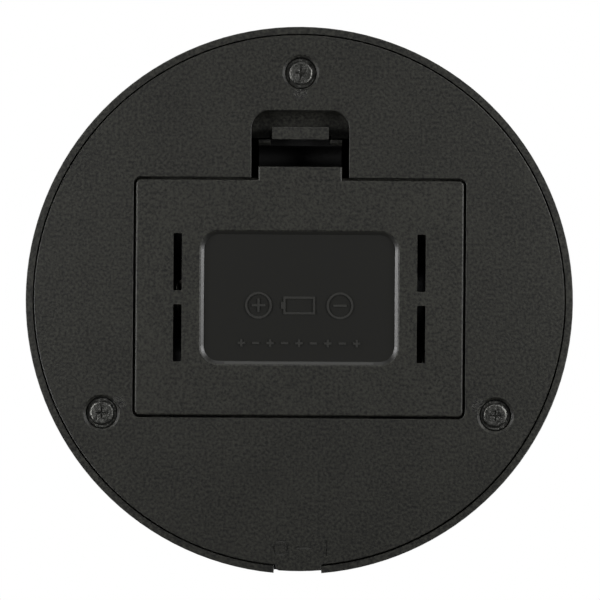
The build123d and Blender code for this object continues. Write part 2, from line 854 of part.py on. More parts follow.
def battery_door():
    door = slab(door_length, door_width, door_corner, bay_shift, door_inset, door_top)
    half = tab_width / 2
    door += block(-half, half, bay_shift, tab_back, door_inset, door_top)
    face_edges = door.edges().filter_by_position(Axis.Z, door_inset - 0.01, door_inset + 0.01)
    door = fillet(face_edges, door_edge_round)
    door -= label_hollow() + door_slots()
    door += cell_symbols()
    hook_low = ledge_z + door_gap / 2
    for x in (-tongue_hook_offset, tongue_hook_offset):
        x0, x1 = x - tongue_hook_width / 2, x + tongue_hook_width / 2
        root = door_front + 2 * tongue_hook_reach
        door += block(x0, x1, door_front + tongue_hook_reach, root, door_inset + door_thickness / 2,
                      hook_low + tongue_hook_thickness)
        door += block(x0, x1, door_front - tongue_hook_reach, root, hook_low,
                      hook_low + tongue_hook_thickness)
    return door + door_spring()


def door_latch():
    """Sprung leg with the head that a fingertip draws towards the door."""
    wide = tab_width / 2
    half = latch_width / 2
    bottom = 2 * door_inset
    leg = block(-wide, wide, leg_front, leg_back, latch_leg_end, latch_rise)
    leg = chamfer(leg.edges().filter_by(Axis.X).group_by(Axis.Z)[0].sort_by(Axis.Y)[0],
                  latch_leg_bevel)
    notch = half + latch_notch_play
    leg -= block(-notch, notch, leg_front, leg_back, latch_leg_end, latch_leg_notch)
    head = block(-half, half, leg_back, leg_back + latch_head_reach, bottom,
                 bottom + latch_head_thickness)
    head = fillet(head.edges().filter_by(Axis.X).group_by(Axis.Y)[-1], latch_head_round)
    neck = block(-half, half, leg_back, leg_back + latch_neck, bottom, latch_neck_top)
    nose_bottom = pan_top + pan_clearance
    nose = block(-half, half, leg_back, leg_back + latch_nose, nose_bottom,
                 nose_bottom + latch_nose_height)
    return leg + head + neck + nose + cross_rod(-wide, wide, leg_y, latch_rise, knuckle_radius)


# ---- display, buttons and electronics ----


def display_window():
    window = slab(window_length, window_width, window_corner, display_y,
                  strip_top - window_thickness, strip_top)
    return chamfer(window.edges().group_by(Axis.Z)[-1], window_bevel)


def lcd_glass():
    """Two sheets of glass, the lower one wider where its contacts lie."""
    middle = lcd_bottom + lcd_thickness / 2
    lower = slab(lcd_length, lcd_width, lcd_corner, display_y, lcd_bottom, middle)
    upper_width = lcd_width - 2 * rubber_width
    return lower + slab(lcd_length, upper_width, lcd_corner, display_y, lcd_bottom, lcd_top)


def lcd_frame():
    """Moulded frame that holds the glass and its rubber strips on the board."""
    inner_x, inner_y = lcd_length + 2 * board_play, lcd_width + 2 * board_play
    outer_x, outer_y = inner_x + 2 * lcd_frame_wall, inner_y + 2 * lcd_frame_wall
    frame = slab(outer_x, outer_y, lcd_frame_wall / 2, display_y, board_top, lcd_top)
    return frame - slab(inner_x, inner_y, lcd_corner, display_y, board_top, lcd_top)


def rubber_contacts():
    """Striped rubber strips between the board's pads and the glass."""
    half_x = lcd_length / 2 - rubber_inset
    strips = []
    for side in (-1, 1):
        y = display_y + side * (lcd_width / 2 - rubber_width)
        strips.append(block(-half_x, half_x, y - rubber_width / 2, y + rubber_width / 2,
                            board_top, lcd_bottom))
    return Compound(children=strips)


def main_board():
    board = block(-board_length / 2, board_length / 2, board_back - board_width, board_back,
                  board_bottom, board_top)
    board &= rod(0, 0, board_bottom, board_top, inner_radius - board_margin)
    for x, y in board_posts():
        board -= rod(x, y, board_bottom, board_top, board_shank_radius + bar_bolt_play)
    return board


def board_screws():
    screws = []
    low = board_bottom - board_head_height
    tip = strip_under - board_screw_cover
    for x, y in board_posts():
        head = rod(x, y, low, board_bottom, board_head_radius)
        head = fillet(head.edges().group_by(Axis.Z)[0], board_head_round)
        head -= cross_recess(x, y, low, board_cross, board_head_height / 2)
        screws.append(head + rod(x, y, board_bottom, tip, board_shank_radius))
    return Compound(children=screws)


def chip_cover():
    """Drop of black resin over the chip, under the board."""
    ball = (chip_radius**2 + chip_depth**2) / (2 * chip_depth)
    ball_z = board_bottom - chip_depth + ball
    under = rod(chip_x, display_y, board_bottom - chip_depth, board_bottom, chip_radius)
    return Pos(chip_x, display_y, ball_z) * Sphere(ball) & under


def board_components():
    """Capacitors, resistors and the crystal, under the board."""
    parts = []
    for x, y, length, width, height in (
        (-14, 3, 2.0, 1.25, 0.9), (-14, 0, 2.0, 1.25, 0.9), (-14, -3, 1.6, 0.8, 0.5),
        (13, 4, 3.2, 1.6, 1.2), (13, 1, 1.6, 0.8, 0.5), (13, -1, 1.6, 0.8, 0.5),
        (18, -4, 7.0, 2.4, 2.0),
    ):
        middle = display_y + y
        parts.append(block(x - length / 2, x + length / 2, middle - width / 2,
                           middle + width / 2, board_bottom - height, board_bottom))
    return Compound(children=parts)


def switch_can(x):
    """Body of one push switch, hollow where its plunger travels."""
    body_top = flange_bottom - 2 * button_travel
    can = slab(push_switch_size, push_switch_size, push_switch_corner, button_y, board_top,
               body_top, x)
    well = rod(x, button_y, board_top + push_switch_floor, body_top, plunger_radius + button_play)
    return can - well


def tact_switches():
    return Compound(children=[switch_can(-button_x), switch_can(button_x)])


def plunger(x):
    """Stem of one push switch, from the bottom of its travel to the key."""
    foot = board_top + push_switch_floor + button_travel + plunger_gap
    return rod(x, button_y, foot, flange_bottom, plunger_radius)


def button(x):
    """Round key with a flange that keeps it under the deck."""
    cap = rod(x, button_y, flange_bottom, strip_top + button_proud, button_radius)
    cap = fillet(cap.edges().group_by(Axis.Z)[-1], button_round)
    flange_top = flange_bottom + button_flange_thickness
    return cap + rod(x, button_y, flange_bottom, flange_top, button_radius + button_flange)


# ---- power switch ----


def power_switch():
    """Slide switch body with the slot for its stem and three solder pins."""
    half = switch_length / 2
    back = switch_front + switch_depth
    top = switch_bottom + switch_height
    body = block(-half, half, switch_front, back, switch_bottom, top)
    reach = (knob_travel + stem_width) / 2 + stem_play
    body -= block(-reach, reach, switch_front, switch_front + switch_depth / 2,
                  switch_mid - stem_width / 2 - stem_play, switch_mid + stem_width / 2 + stem_play)
    for x in (-pin_pitch, 0, pin_pitch):
        body += block(x - pin_width / 2, x + pin_width / 2, back, back + pin_length,
                      switch_mid - pin_thickness / 2, switch_mid + pin_thickness / 2)
    return body


def power_knob():
    """Grooved slider in the notch, drawn at the end beside the bar mark, which is on."""
    x = -knob_travel / 2
    half = knob_width / 2
    back = switch_front - 2 * stem_play
    front = back - knob_reach
    cap = block(x - half, x + half, front, back, switch_mid - half, switch_mid + half)
    cap = fillet(cap.edges().filter_by(Axis.Y), knob_round)
    for step in (-1, 0, 1):
        middle = x + step * knob_width / 4
        cap -= block(middle - knob_groove / 2, middle + knob_groove / 2, front,
                     front + knob_groove, switch_mid - half, switch_mid + half)
    stem = block(x - stem_width / 2, x + stem_width / 2, back,
                 switch_front + switch_depth / 2 - 2 * stem_play,
                 switch_mid - stem_width / 2, switch_mid + stem_width / 2)
    return cap + stem


# ---- leads ----


def lead(points, bend):
    """Round wire through the given points with rounded corners."""
    path = FilletPolyline(*points, radius=bend)
    profile = Plane(origin=path @ 0, z_dir=path % 0) * Circle(lead_radius)
    return sweep(profile, path=path)


def battery_leads():
    """Red and black wires from the end contacts to the board."""
    run_z = bay_top + 3 * lead_radius
    board_y = board_back - battery_lead_landing
    leads = []
    for x, y in contact_tabs():
        side = 1 if x > 0 else -1
        start = x - side * (contact_thickness / 2 + lead_radius)
        route = [(start, y - lead_radius, run_z), (start, board_y, run_z),
                 (start, board_y, board_bottom)]
        leads.append(lead(route, battery_lead_bend))
    return Compound(children=leads)


def load_cell_leads():
    """Four fine wires from the gauges to the board."""
    start_y = bar_y - bar_width / 2 - lead_radius
    run_z = bar_bottom + bar_height / 4
    board_y = board_back - cell_lead_landing
    return Compound(children=[
        lead([(x, start_y, run_z), (x, board_y, run_z), (x, board_y, board_bottom)],
             cell_lead_bend)
        for x in [cell_lead_pitch * step for step in (-1.5, -0.5, 0.5, 1.5)]
    ])


def switch_leads():
    """Wires from two of the power switch's pins up to the board."""
    start_y = switch_front + switch_depth + pin_length + lead_radius
    board_y = start_y + switch_lead_run
    return Compound(children=[
        lead([(x, start_y, switch_mid), (x, board_y, switch_mid), (x, board_y, board_bottom)],
             switch_lead_bend)
        for x in (-pin_pitch, 0)
    ])


def all_parts():
    parts = {
        "base_plate": base_plate(),
        "housing": housing(),
        "housing_screws": housing_screws(),
        "battery_door": battery_door(),
        "door_latch": door_latch(),
        "contact_strips": contact_strips(),
        "contact_springs": contact_springs(),
        "load_cell": load_cell(),
        "strain_gauges": strain_gauges(),
        "load_cell_base_screws": base_bolts(),
        "load_cell_platform_screws": platform_bolts(),
        "platform_carrier": platform_carrier(),
        "platform_skin": platform_skin(),
        "platform_tape": platform_tape(),
        "display_window": display_window(),
        "lcd_glass": lcd_glass(),
        "lcd_frame": lcd_frame(),
        "lcd_rubber_contacts": rubber_contacts(),
        "main_board": main_board(),
        "board_screws": board_screws(),
        "chip_cover": chip_cover(),
        "board_components": board_components(),
        "tact_switches": tact_switches(),
        "tare_plunger": plunger(-button_x),
        "unit_plunger": plunger(button_x),
        "tare_button": button(-button_x),
        "unit_button": button(button_x),
        "power_switch": power_switch(),
        "power_knob": power_knob(),
        "battery_leads": battery_leads(),
        "load_cell_leads": load_cell_leads(),
        "switch_leads": switch_leads(),
    }
    for number, (y, side) in enumerate(cell_places(), 1):
        parts[f"battery_cell_{number}"] = battery_cell(y, side)
    return parts


os.makedirs("parts", exist_ok=True)
for name, shape in all_parts().items():
    export_step(shape, f"parts/{name}.step")
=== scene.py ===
import bmesh
import bpy
import math
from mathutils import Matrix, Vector


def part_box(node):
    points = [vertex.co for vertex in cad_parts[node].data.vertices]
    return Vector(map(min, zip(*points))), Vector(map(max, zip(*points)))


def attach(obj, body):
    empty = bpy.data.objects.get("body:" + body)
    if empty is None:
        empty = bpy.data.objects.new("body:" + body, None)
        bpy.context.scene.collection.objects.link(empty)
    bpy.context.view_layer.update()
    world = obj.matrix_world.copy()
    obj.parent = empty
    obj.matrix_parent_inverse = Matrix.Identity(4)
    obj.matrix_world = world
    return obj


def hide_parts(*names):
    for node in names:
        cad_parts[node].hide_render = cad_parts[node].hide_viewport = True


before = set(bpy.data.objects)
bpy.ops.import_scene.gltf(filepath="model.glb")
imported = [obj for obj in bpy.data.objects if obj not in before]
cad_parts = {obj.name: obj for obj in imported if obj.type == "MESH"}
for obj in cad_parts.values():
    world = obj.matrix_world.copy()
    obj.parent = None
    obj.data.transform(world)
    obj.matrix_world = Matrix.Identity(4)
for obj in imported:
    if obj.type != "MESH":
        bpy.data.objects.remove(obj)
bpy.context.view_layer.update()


# ---- base plate ----
# Black ABS plate, moulded in a spark-eroded tool, so its skin is finely mottled. The melt left a
# rough flow mark on the inner side of each counterbore, and the sunk switch marks are paler.


class Wire:
    """A material's output socket; expressions on wires and numbers add Math nodes."""

    def __init__(self, tree, socket):
        self.tree, self.socket = tree, socket

    def node(self, kind, inputs=(), out=0, **settings):
        """Adds a node, sets it, fills its inputs with values or wires, and gives its output."""
        node = self.tree.nodes.new("ShaderNode" + kind)
        stops = settings.pop("stops", ())
        for name, value in settings.items():
            setattr(node, name, value)
        if stops:
            node.color_ramp.interpolation = "CONSTANT"
        for index, (at, colour) in enumerate(stops):
            stop = node.color_ramp.elements[index] if index < 2 else node.color_ramp.elements.new(at)
            stop.position, stop.color = at, (*colour, 1)
        for key, value in dict(inputs).items():
            if isinstance(value, Wire):
                self.tree.links.new(value.socket, node.inputs[key])
            else:
                node.inputs[key].default_value = value
        return Wire(self.tree, node.outputs[out])

    def maths(self, operation, first, second=0.0):
        return self.node("Math", {0: first, 1: second}, operation=operation)

    def __add__(self, other):
        return self.maths("ADD", self, other)

    def __sub__(self, other):
        return self.maths("SUBTRACT", self, other)

    def __rsub__(self, other):
        return self.maths("SUBTRACT", other, self)

    def __mul__(self, other):
        return self.maths("MULTIPLY", self, other)

    def __abs__(self):
        return self.maths("ABSOLUTE", self)

    def __mod__(self, other):
        return self.maths("FLOORED_MODULO", self, other)

    def __lt__(self, other):
        return self.maths("LESS_THAN", self, other)

    def __gt__(self, other):
        return self.maths("GREATER_THAN", self, other)

    def fade(self, start, end):
        """1 at and before start, going smoothly to 0 at end."""
        return self.node("MapRange", {0: self, 1: start, 2: end, 3: 1.0, 4: 0.0},
                         interpolation_type="SMOOTHSTEP")

    __radd__ = __add__
    __rmul__ = __mul__


class Finish:
    """A material with one Principled shader, and its surface's place in millimetres."""

    def __init__(self, name, roughness=0.5, **steady):
        self.material = bpy.data.materials.new(name)
        self.material.use_nodes = True
        self.tree = self.material.node_tree
        self.shader = self.tree.nodes["Principled BSDF"]
        self.shader.inputs["Roughness"].default_value = roughness
        for socket, value in steady.items():
            self.shader.inputs[socket.replace("_", " ")].default_value = value
        metres = Wire(self.tree, None).node("TexCoord", out="Object")
        self.place = metres.node("VectorMath", {0: metres, 1: (1000, 1000, 1000)},
                                 operation="MULTIPLY")
        self.x, self.y, self.z = (self.place.node("SeparateXYZ", {0: self.place}, out=axis)
                                  for axis in range(3))

    def noise(self, scale, detail=2.0, stretch=(1, 1, 1), roughness=0.5):
        """Noise of so many cells a millimetre, from 0 to 1."""
        place = self.place.node("VectorMath", {0: self.place, 1: stretch}, operation="MULTIPLY")
        return place.node("TexNoise", {"Vector": place, "Scale": scale, "Detail": detail,
                                       "Roughness": roughness}, out="Fac")

    def away(self, x, y):
        """Distance in plan from a place."""
        flat = self.place.node("VectorMath", {0: self.place, 1: (1, 1, 0)}, operation="MULTIPLY")
        return flat.node("VectorMath", {0: flat, 1: (x, y, 0)}, out="Value", operation="DISTANCE")

    def feed(self, **wires):
        """Links wires to the shader's sockets."""
        for socket, wire in wires.items():
            self.tree.links.new(wire.socket, self.shader.inputs[socket.replace("_", " ")])

    def blend(self, mask, first, second):
        """Colour that goes from first to second as the mask goes from 0 to 1."""
        ends = [end if isinstance(end, Wire) else (*end, 1) for end in (first, second)]
        return mask.node("Mix", {0: mask, 6: ends[0], 7: ends[1]}, out=2, data_type="RGBA")

    def bump(self, height, depth_mm):
        """Feeds the normal with a height from 0 to 1 that stands for so many millimetres."""
        self.feed(Normal=height.node("Bump", {"Height": height, "Distance": depth_mm * 0.001}))


def coat(finish, *nodes):
    """Gives the meshes of CAD nodes the finish."""
    for node in nodes:
        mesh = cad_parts[node].data
        mesh.materials.clear()
        mesh.materials.append(finish.material)


eroded_dark = (0.0040, 0.0040, 0.0034)
eroded_light = (0.0345, 0.0345, 0.0280)


def eroded(finish, keep=1.0, extra=0.0):
    """Mottle of an eroded mould: keep is how much of it is left, extra is added to its height."""
    grain = finish.noise(1.8, 3.0, roughness=0.62)
    cloud = finish.noise(0.09, 2.0)
    height = (grain - 0.5) * keep + extra
    tone = height * 3.6 + (cloud - 0.5) * 0.45 * keep + 0.5
    finish.bump(height, 0.08)
    return tone


screw_head_radius = 3.1
flow_inset, flow_core, flow_edge, flow_rise = 3.9, 0.4, 1.9, 9.0
marks_middle, marks_reach, marks_low, marks_high = (-1.2, -48.4), 7.0, 0.1, 0.2
screw_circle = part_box("housing_screws")[1][1] * 1000 - screw_head_radius
plate_finish = Finish("eroded_abs_with_flow_marks", 0.56)
specks = plate_finish.noise(1.9, 4.0, roughness=0.75) - 0.5
flow = 0.0
for degrees in (90, 210, 330):
    middle = screw_circle - flow_inset
    x, y = middle * math.cos(math.radians(degrees)), middle * math.sin(math.radians(degrees))
    flow = plate_finish.away(x, y).fade(flow_core, flow_edge) + flow
plate_tone = eroded(plate_finish, extra=specks * flow * flow_rise)
plate_skin = plate_finish.blend(plate_tone, eroded_dark, eroded_light)
in_marks = ((plate_finish.z > marks_low) * (plate_finish.z < marks_high)
            * (plate_finish.away(*marks_middle) < marks_reach))
plate_finish.feed(Base_Color=plate_finish.blend(in_marks, plate_skin, (0.042, 0.042, 0.038)))
coat(plate_finish, "base_plate")


# ---- housing ----
# One black ABS moulding: a thin skirt round the base plate, a sunk deck under the platform and
# the raised display strip. Its outside has the same eroded skin as the base.

housing_finish = Finish("eroded_abs", 0.56)
housing_finish.feed(Base_Color=housing_finish.blend(eroded(housing_finish), eroded_dark, eroded_light))
coat(housing_finish, "housing")


# ---- housing screws ----
# Three thread-forming screws with a washer face, sunk in the counterbores. Their black zinc
# plating is patchy, from near black to a dull grey, as it comes out of the barrel.

screw_finish = Finish("black_zinc", Metallic=1.0)
wear = screw_finish.noise(1.3, 4.0, roughness=0.7)
screw_finish.feed(Base_Color=screw_finish.blend((wear - 0.5) * 2.0 + 0.5, (0.03, 0.03, 0.028),
                                                (0.24, 0.24, 0.225)),
                  Roughness=0.3 + wear * 0.26)
screw_finish.bump(wear, 0.2)
coat(screw_finish, "housing_screws")


# ---- battery door and its latch ----
# Black ABS door with a smooth label tray, four slots and a sprung latch moulded in one with it.
# The tray's floor was polished in the tool, so it is darker and glossier than the mottled face,
# and its raised signs are a little paler. Deep inside, the door and the latch are painted near black:
# painted shade that stands for the shadow in their depths.

# A near black painted as shade, for the shadow deep inside the door and the latch.
painted_depth_shade = (0.003, 0.003, 0.003)
tray_floor_from, tray_half_x, tray_half_y, tray_y = 0.3, 20.0, 13.6, 0.48
signs_top, signs_half_x, signs_half_y, signs_y = 0.62, 15.0, 8.5, -4.5
# Depths past which the door and the latch get painted shade instead of their skin.
door_shade_depth, latch_shade_depth = 2.2, 2.9
door_finish = Finish("eroded_abs_with_polished_tray_and_painted_depth_shade")
inside_tray = ((door_finish.z > tray_floor_from) * (abs(door_finish.x) < tray_half_x)
               * (abs(door_finish.y - tray_y) < tray_half_y))
sign_tips = (inside_tray * (door_finish.z < signs_top) * (abs(door_finish.x) < signs_half_x)
             * (abs(door_finish.y - signs_y) < signs_half_y))
door_tone = eroded(door_finish, keep=1 - inside_tray * 0.93)
door_skin = door_finish.blend(door_tone + 0.1, eroded_dark, eroded_light)
tray_skin = door_finish.blend(sign_tips, (0.0165, 0.0165, 0.0148), (0.038, 0.038, 0.035))
outside = door_finish.blend(inside_tray, door_skin, tray_skin)
# Past the door's shade depth the colour is painted shade, not the plastic's own colour.
door_finish.feed(Base_Color=door_finish.blend(door_finish.z > door_shade_depth, outside, painted_depth_shade),
                 Roughness=0.56 - inside_tray * 0.16)
coat(door_finish, "battery_door")
latch_finish = Finish("eroded_latch_abs_with_painted_depth_shade", 0.56)
latch_skin = latch_finish.blend(eroded(latch_finish), eroded_dark, eroded_light)
# Past the latch's shade depth its colour is painted shade, and it is also made rougher.
latch_in_painted_shade = latch_finish.z > latch_shade_depth
latch_finish.feed(Base_Color=latch_finish.blend(latch_in_painted_shade, latch_skin, painted_depth_shade),
                  Roughness=0.56 + latch_in_painted_shade * 0.4)
coat(latch_finish, "door_latch")


# ---- cells ----
# Three AA cells: a drawn steel can in a charcoal shrink sleeve with one plain grey band, nickel
# ends and a white insulating ring round the nub. They lie head to tail in the bay.

nickel = Finish("nickel_plate", 0.28, Metallic=1.0)
nickel_scuffs = nickel.noise(1.4, 3.0, (1, 5, 5))
nickel.feed(Base_Color=nickel.blend(nickel_scuffs, (0.42, 0.41, 0.38), (0.66, 0.65, 0.61)),
            Roughness=0.2 + nickel_scuffs * 0.25)
nickel.bump(nickel_scuffs, 0.01)
insulator = Finish("fibre_ring", 0.8)
fibres = insulator.noise(4.0, 3.0)
insulator.feed(Base_Color=insulator.blend(fibres, (0.50, 0.49, 0.45), (0.68, 0.67, 0.62)))


def cell_profile(length, radius, nub_length, nub_radius):
    """(along, radius, material) from the flat end to the nub: 0 metal, 1 sleeve, 2 insulator."""
    shoulder = length - nub_length
    return [(0.12, 0.0, 0), (0.12, 4.7, 0), (0.4, 5.1, 0), (0.4, 5.7, 1), (0.05, 6.1, 1),
            (0.05, 6.5, 1), (0.3, 7.05, 1), (0.75, radius, 1), (shoulder - 0.75, radius, 1),
            (shoulder - 0.3, 7.05, 1), (shoulder - 0.05, 6.5, 1), (shoulder - 0.05, 6.1, 1),
            (shoulder - 0.3, 5.7, 2), (shoulder - 0.3, 3.3, 0), (shoulder + 0.1, nub_radius, 0),
            (length - 0.35, nub_radius, 0), (length, nub_radius - 0.4, 0), (length, 0.0, 0)]


def solid(name, shape, finishes):
    """Object in metres from a mesh in millimetres, sharp where two faces meet at an angle."""
    bmesh.ops.recalc_face_normals(shape, faces=shape.faces)
    bmesh.ops.scale(shape, vec=(0.001, 0.001, 0.001), verts=shape.verts)
    mesh = bpy.data.meshes.new(name)
    shape.to_mesh(mesh)
    shape.free()
    mesh.set_sharp_from_angle(angle=math.radians(38))
    for finish in finishes:
        mesh.materials.append(finish.material)
    thing = bpy.data.objects.new(name, mesh)
    bpy.context.scene.collection.objects.link(thing)
    return thing


def turned(name, profile, start, side, y, z, finishes):
    """Mesh turned round a line along X from a profile in millimetres."""
    turns = 64
    shape = bmesh.new()
    rings = []
    for along, radius, _ in profile:
        x = start + side * along
        if radius == 0:
            rings.append([shape.verts.new((x, y, z))] * turns)
            continue
        rings.append([shape.verts.new((x, y + radius * math.cos(2 * math.pi * step / turns),
                                       z + radius * math.sin(2 * math.pi * step / turns)))
                      for step in range(turns)])
    for index in range(len(rings) - 1):
        for step in range(turns):
            ahead = (step + 1) % turns
            corners = [rings[index][step], rings[index][ahead], rings[index + 1][ahead],
                       rings[index + 1][step]]
            face = shape.faces.new(list(dict.fromkeys(corners)))
            face.material_index = profile[index][2]
            face.smooth = True
    return solid(name, shape, finishes)


for number in (1, 2, 3):
    node = f"battery_cell_{number}"
    low, high = (Vector(corner) * 1000 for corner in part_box(node))
    side = 1 if number % 2 else -1
    start = low.x if side > 0 else high.x
    length, radius = high.x - low.x, (high.y - low.y) / 2
    sleeve = Finish(f"shrink_sleeve_{number}", 0.32, Coat_Weight=0.3)
    along = (sleeve.x - start) * side
    band = (along > length - 13.0) * (along < length - 11.5)
    gloss = sleeve.noise(0.5, 2.0, (0.3, 1, 1))
    sleeve_skin = sleeve.blend(gloss, (0.018, 0.019, 0.021), (0.030, 0.031, 0.034))
    sleeve.feed(Base_Color=sleeve.blend(band, sleeve_skin, (0.28, 0.28, 0.28)),
                Roughness=0.25 + gloss * 0.2)
    cell = turned(f"cell_{number}", cell_profile(length, radius, 1.3, 2.75), start, side,
                  (low.y + high.y) / 2, (low.z + high.z) / 2, [nickel, sleeve, insulator])
    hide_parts(node)
    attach(cell, "base")


# ---- contact strips and springs ----
# Strips stamped from nickel-plated spring steel stand against the bay's end walls, and coned
# springs of the same steel, spot welded to them, press on the cells' flat ends.

contact_finish = Finish("nickel_plated_spring_steel", 0.3, Metallic=1.0)
rolled = contact_finish.noise(0.8, 3.0, (1, 0.4, 6))
contact_finish.feed(
    Base_Color=contact_finish.blend(rolled, (0.40, 0.385, 0.35), (0.62, 0.60, 0.56)),
    Roughness=0.22 + rolled * 0.25)
contact_finish.bump(rolled, 0.01)
coat(contact_finish, "contact_strips", "contact_springs")


# ---- load cell ----
# A sawn and milled aluminium bar with a double bore. Four foil gauges are glued over the thin
# places under a clear varnish, and zinc-plated screws hold it at both ends.

alloy = Finish("milled_aluminium", 0.35, Metallic=1.0)
cutter = alloy.noise(0.9, 3.0, (0.15, 6, 6))
alloy.feed(Base_Color=alloy.blend(cutter, (0.52, 0.52, 0.53), (0.74, 0.74, 0.75)),
           Roughness=0.28 + cutter * 0.2)
alloy.bump(cutter, 0.01)
coat(alloy, "load_cell")

gauge = Finish("gauge_foil_on_film", 0.25, Coat_Weight=0.6)
grid_pitch, grid_wire, gauge_x, grid_half = 0.5, 0.22, 4.5, 1.5
grid = (gauge.y % grid_pitch < grid_wire) * (abs(abs(gauge.x) - gauge_x) < grid_half)
film = gauge.noise(1.0)
gauge.feed(Base_Color=gauge.blend(grid, gauge.blend(film, (0.42, 0.17, 0.03), (0.55, 0.25, 0.05)),
                                  (0.50, 0.45, 0.36)), Metallic=grid * 0.8)
coat(gauge, "strain_gauges")

zinc = Finish("bright_zinc", 0.3, Metallic=1.0)
passivation = zinc.noise(0.7, 3.0)
zinc.feed(Base_Color=zinc.blend(passivation, (0.42, 0.43, 0.45), (0.64, 0.64, 0.62)),
          Roughness=0.24 + passivation * 0.2)
zinc.bump(passivation, 0.01)
coat(zinc, "load_cell_base_screws", "load_cell_platform_screws", "board_screws")


# ---- platform ----
# A moulded tray sits on the load cell's free end, with its own outside lip under a cap pressed
# from stainless sheet, brushed from side to side and held down by a ring of foam tape.

tray_finish = Finish("fine_texture_abs", 0.5)
fine = tray_finish.noise(3.2, 2.0)
tray_finish.feed(Base_Color=tray_finish.blend(fine, (0.012, 0.012, 0.012), (0.026, 0.026, 0.026)))
tray_finish.bump(fine, 0.02)
coat(tray_finish, "platform_carrier")

brushed = Finish("brushed_stainless", 0.3, Metallic=1.0)
scratches = brushed.noise(3.0, 4.0, (0.012, 1, 1), 0.75)
lines = brushed.noise(9.0, 2.0, (0.006, 1, 1))
hand_marks = brushed.noise(0.035, 2.0)
strokes = scratches * 0.6 + lines * 0.4
brushed.feed(Base_Color=brushed.blend((strokes - 0.5) * 2.2 + 0.5, (0.44, 0.44, 0.435),
                                      (0.68, 0.675, 0.665)),
             Roughness=strokes * 0.22 + hand_marks * 0.08 + 0.17)
brushed.bump(strokes, 0.006)
coat(brushed, "platform_skin")

tape = Finish("foam_tape", 0.9)
pores = tape.noise(2.5, 3.0)
tape.feed(Base_Color=tape.blend(pores, (0.55, 0.55, 0.53), (0.78, 0.78, 0.75)))
tape.bump(pores, 0.05)
coat(tape, "platform_tape")


# ---- display ----
# A smoked acrylic window, printed black round its clear middle, is glued in the strip. Under it a
# reflective liquid crystal glass is held by a white frame on striped rubber contacts.

window_low, window_high = (Vector(corner) * 1000 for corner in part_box("display_window"))
window_middle = (window_low + window_high) / 2
view_half_x, view_half_y, view_corner = 18.25, 6.75, 0.8
window = Finish("smoked_acrylic_printed_border", 0.06, Coat_Weight=0.4)
over_x = abs(window.x) - (view_half_x - view_corner)
over_x = over_x.maths("MAXIMUM", over_x, 0.0)
over_y = abs(window.y - window_middle.y) - (view_half_y - view_corner)
over_y = over_y.maths("MAXIMUM", over_y, 0.0)
print_mask = (over_x * over_x + over_y * over_y) > view_corner ** 2
dust = window.noise(1.2, 4.0)
window.feed(Base_Color=window.blend(print_mask, (0.03, 0.032, 0.035), (0.008, 0.008, 0.009)),
            Alpha=print_mask * 0.72 + 0.28, Roughness=dust * 0.08 + 0.03)
coat(window, "display_window")

glass = Finish("reflective_lcd_glass", 0.18, Coat_Weight=0.5)
cast = glass.noise(0.12, 2.0)
glass.feed(Base_Color=glass.blend(cast, (0.36, 0.41, 0.33), (0.42, 0.47, 0.38)),
           Roughness=0.15 + cast * 0.1)
coat(glass, "lcd_glass")

frame_finish = Finish("white_polystyrene", 0.45)
sheen = frame_finish.noise(1.0)
frame_finish.feed(Base_Color=frame_finish.blend(sheen, (0.62, 0.62, 0.58), (0.74, 0.74, 0.70)))
coat(frame_finish, "lcd_frame")

rubber = Finish("striped_contact_rubber", 0.7)
stripes = (rubber.x % 0.36) < 0.18
rubber.feed(Base_Color=rubber.blend(stripes, (0.55, 0.52, 0.50), (0.02, 0.02, 0.02)))
coat(rubber, "lcd_rubber_contacts")

# The lit figures read zero, as on a scale that was just switched on: two zeros of six bars each,
# a point between them and a ring at the left that shows the reading is steady. They stand a
# little above the window's middle, so that its border doesn't hide their feet from the front.

figure_height, figure_width, bar_width, bar_gap, ink = 7.0, 4.4, 0.95, 0.16, 0.04
figure_y, zero_places = window_middle.y + 1.0, (3.4, 11.2)
point_x, point_radius, point_sides = 7.3, 0.6, 16
steady_x, steady_y = -13.6, window_middle.y + 3.6
ring_inside, ring_outside, ring_parts = 1.1, 1.5, 20
glass_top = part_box("lcd_glass")[1][2] * 1000
ink_finish = Finish("liquid_crystal_ink", 0.35)
twist = ink_finish.noise(1.5)
ink_finish.feed(Base_Color=ink_finish.blend(twist, (0.010, 0.012, 0.014), (0.022, 0.024, 0.027)))


def plate(shape, outline):
    """Adds one thin figure on the glass, from its outline in plan."""
    top = [shape.verts.new((x, y, glass_top + ink)) for x, y in outline]
    foot = [shape.verts.new((x, y, glass_top)) for x, y in outline]
    shape.faces.new(top)
    shape.faces.new(foot[::-1])
    for index in range(len(outline)):
        after = (index + 1) % len(outline)
        shape.faces.new((foot[index], foot[after], top[after], top[index]))


def bar(shape, x, y, along_x):
    """One pointed bar of a figure, round its middle."""
    reach = (figure_width if along_x else figure_height / 2) / 2 - bar_gap
    half = bar_width / 2
    outline = [(-reach, 0), (half - reach, -half), (reach - half, -half), (reach, 0),
               (reach - half, half), (half - reach, half)]
    plate(shape, [(x + a, y + b) if along_x else (x - b, y + a) for a, b in outline])


figures = bmesh.new()
for figure_x in zero_places:
    for up in (-1, 1):
        bar(figures, figure_x, figure_y + up * figure_height / 2, True)
        for across in (-1, 1):
            bar(figures, figure_x + across * figure_width / 2,
                figure_y + up * figure_height / 4, False)
point_y = figure_y - figure_height / 2
plate(figures, [(point_x + point_radius * math.cos(turn), point_y + point_radius * math.sin(turn))
                for turn in (2 * math.pi * side / point_sides for side in range(point_sides))])
for part in range(ring_parts):
    first, last = (2 * math.pi * (part + end) / ring_parts for end in (0.08, 0.92))
    plate(figures, [(steady_x + radius * math.cos(turn), steady_y + radius * math.sin(turn))
                    for radius, turn in ((ring_inside, first), (ring_outside, first),
                                         (ring_outside, last), (ring_inside, last))])
lit = solid("display_figures", figures, [ink_finish])
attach(lit, "base")


# ---- main board ----
# Glass-epoxy board under the display, with green solder mask over its copper tracks. A drop of
# black resin covers the bonded chip, and the small parts are soldered to the under side.

